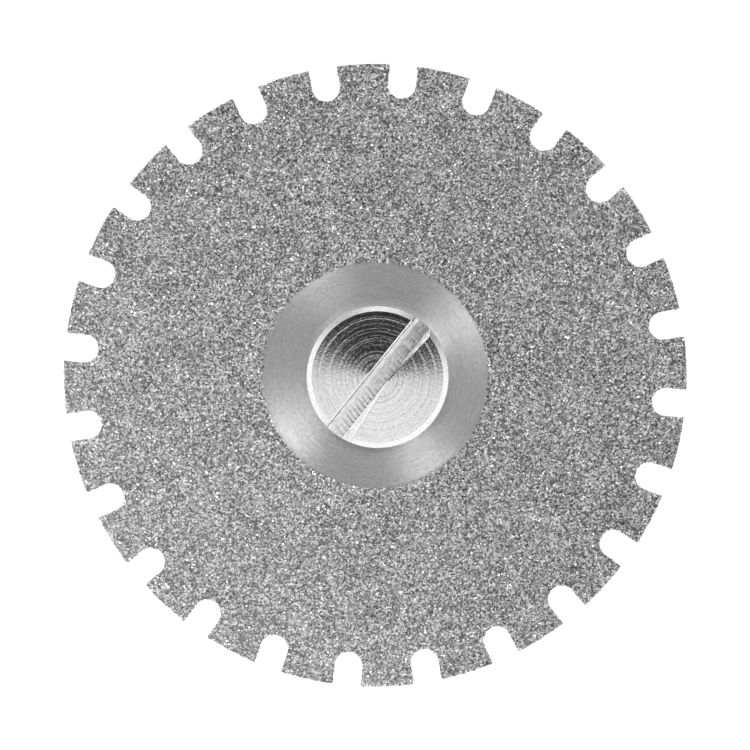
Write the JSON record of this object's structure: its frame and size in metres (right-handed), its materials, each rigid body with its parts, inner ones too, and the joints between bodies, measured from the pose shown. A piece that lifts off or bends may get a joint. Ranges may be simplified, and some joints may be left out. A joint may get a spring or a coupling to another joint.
{
  "type": "double-sided diamond disc on a screw mandrel",
  "caption": "Thin round cutting disc with rim slots and a diamond grit coat on both faces, clamped by a dished slotted screw on a straight handpiece shank.",
  "frame": {"origin": "on the spin axis, where the ground stretch of the shank begins, just above the chamfer of its free end", "axes": "+Z along the spin axis from the shank's free end towards the disc and the screw's head; +X to the right and +Y up in the picture, which looks along -Z"},
  "size_m": [0.022, 0.022, 0.0445],
  "materials": {
    "blank_steel": "stainless steel sheet, ground with fine rings round the middle",
    "diamond_grit": "fine diamond grit held in grey nickel, rough and sparkling",
    "screw_steel": "turned stainless steel with fine rings, bright",
    "mandrel_steel": "turned and ground stainless steel"
  },
  "bodies": {
    "root": {"disc_blank": "blank_steel", "diamond_coating": "diamond_grit", "clamp_screw": "screw_steel", "mandrel": "mandrel_steel"}
  },
  "joints": []
}
